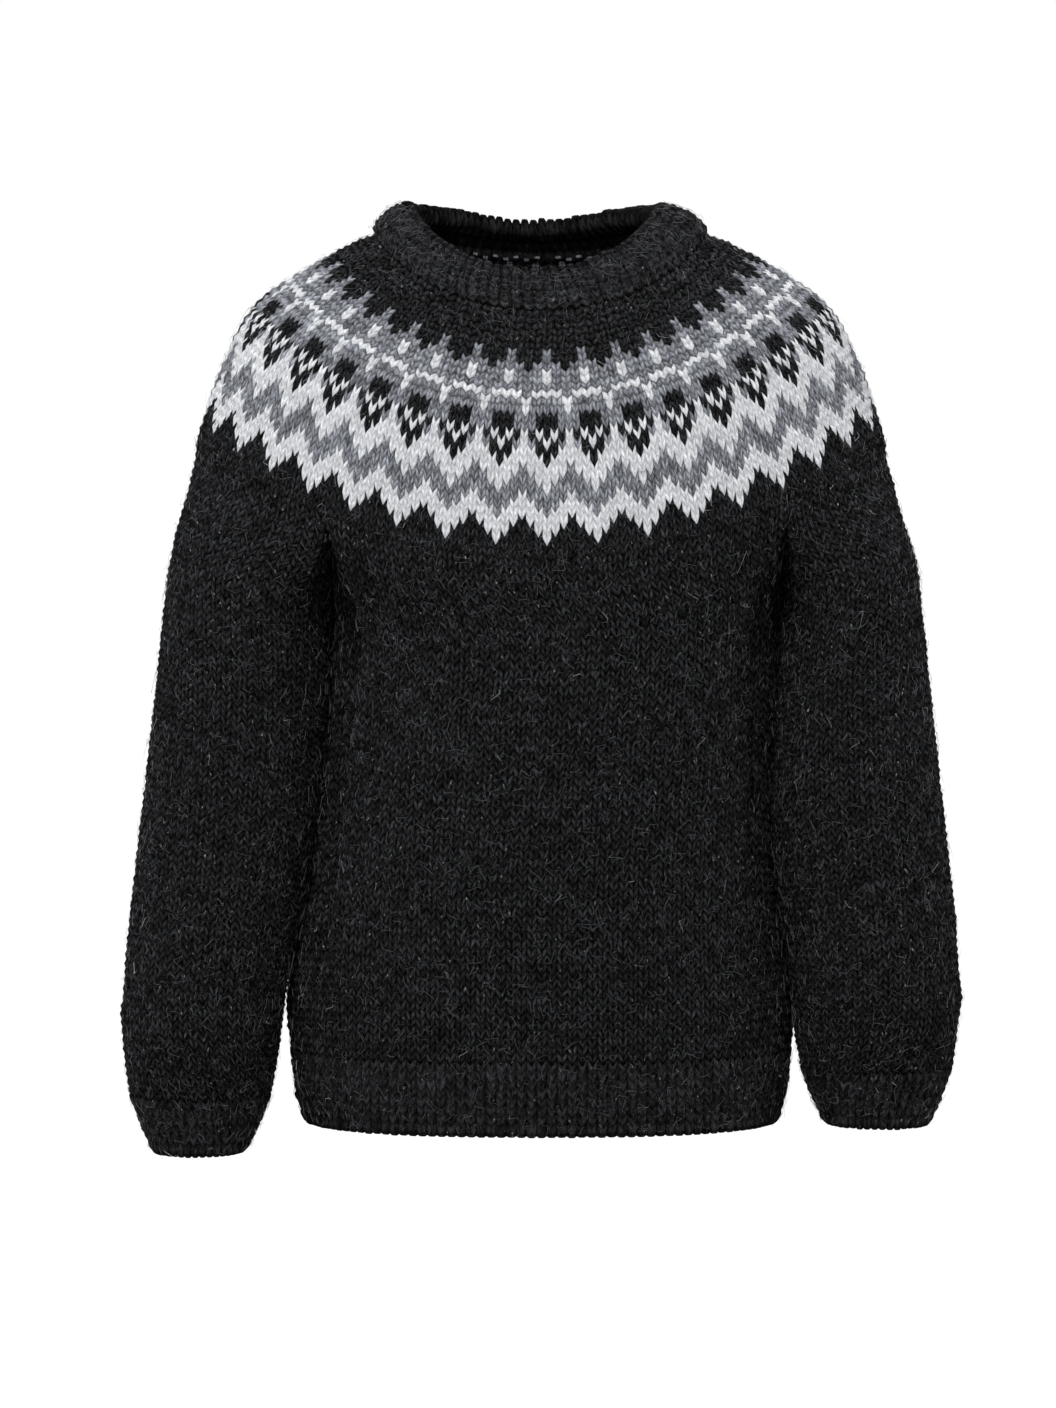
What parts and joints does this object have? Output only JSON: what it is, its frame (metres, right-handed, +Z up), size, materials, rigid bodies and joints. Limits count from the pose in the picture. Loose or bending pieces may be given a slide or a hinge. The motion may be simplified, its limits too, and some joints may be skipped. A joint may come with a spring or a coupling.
{
  "type": "round-yoked sweater",
  "caption": "Hand-knitted wool pullover with a round patterned yoke and ribbed neck, hem and cuffs, filled out as if worn.",
  "frame": {"origin": "middle of the neck opening, at the height where the wearer's neck and shoulders carry the garment", "axes": "+Z up, -Y out of the front of the chest, +X towards the wearer's left sleeve"},
  "size_m": [0.573, 0.2598, 0.6575],
  "materials": {
    "yoke_wool": "hairy knitted wool in charcoal, mid-grey and pale grey, matt",
    "charcoal_wool": "hairy heathered charcoal wool, stocking stitch, matt",
    "charcoal_rib": "hairy heathered charcoal wool, one by one rib, matt"
  },
  "bodies": {
    "root": {"yoke": "yoke_wool", "neckband": "charcoal_rib", "body": "charcoal_wool", "hem_rib": "charcoal_rib", "sleeve_left": "charcoal_wool", "sleeve_right": "charcoal_wool", "cuff_left": "charcoal_rib", "cuff_right": "charcoal_rib"}
  },
  "joints": []
}
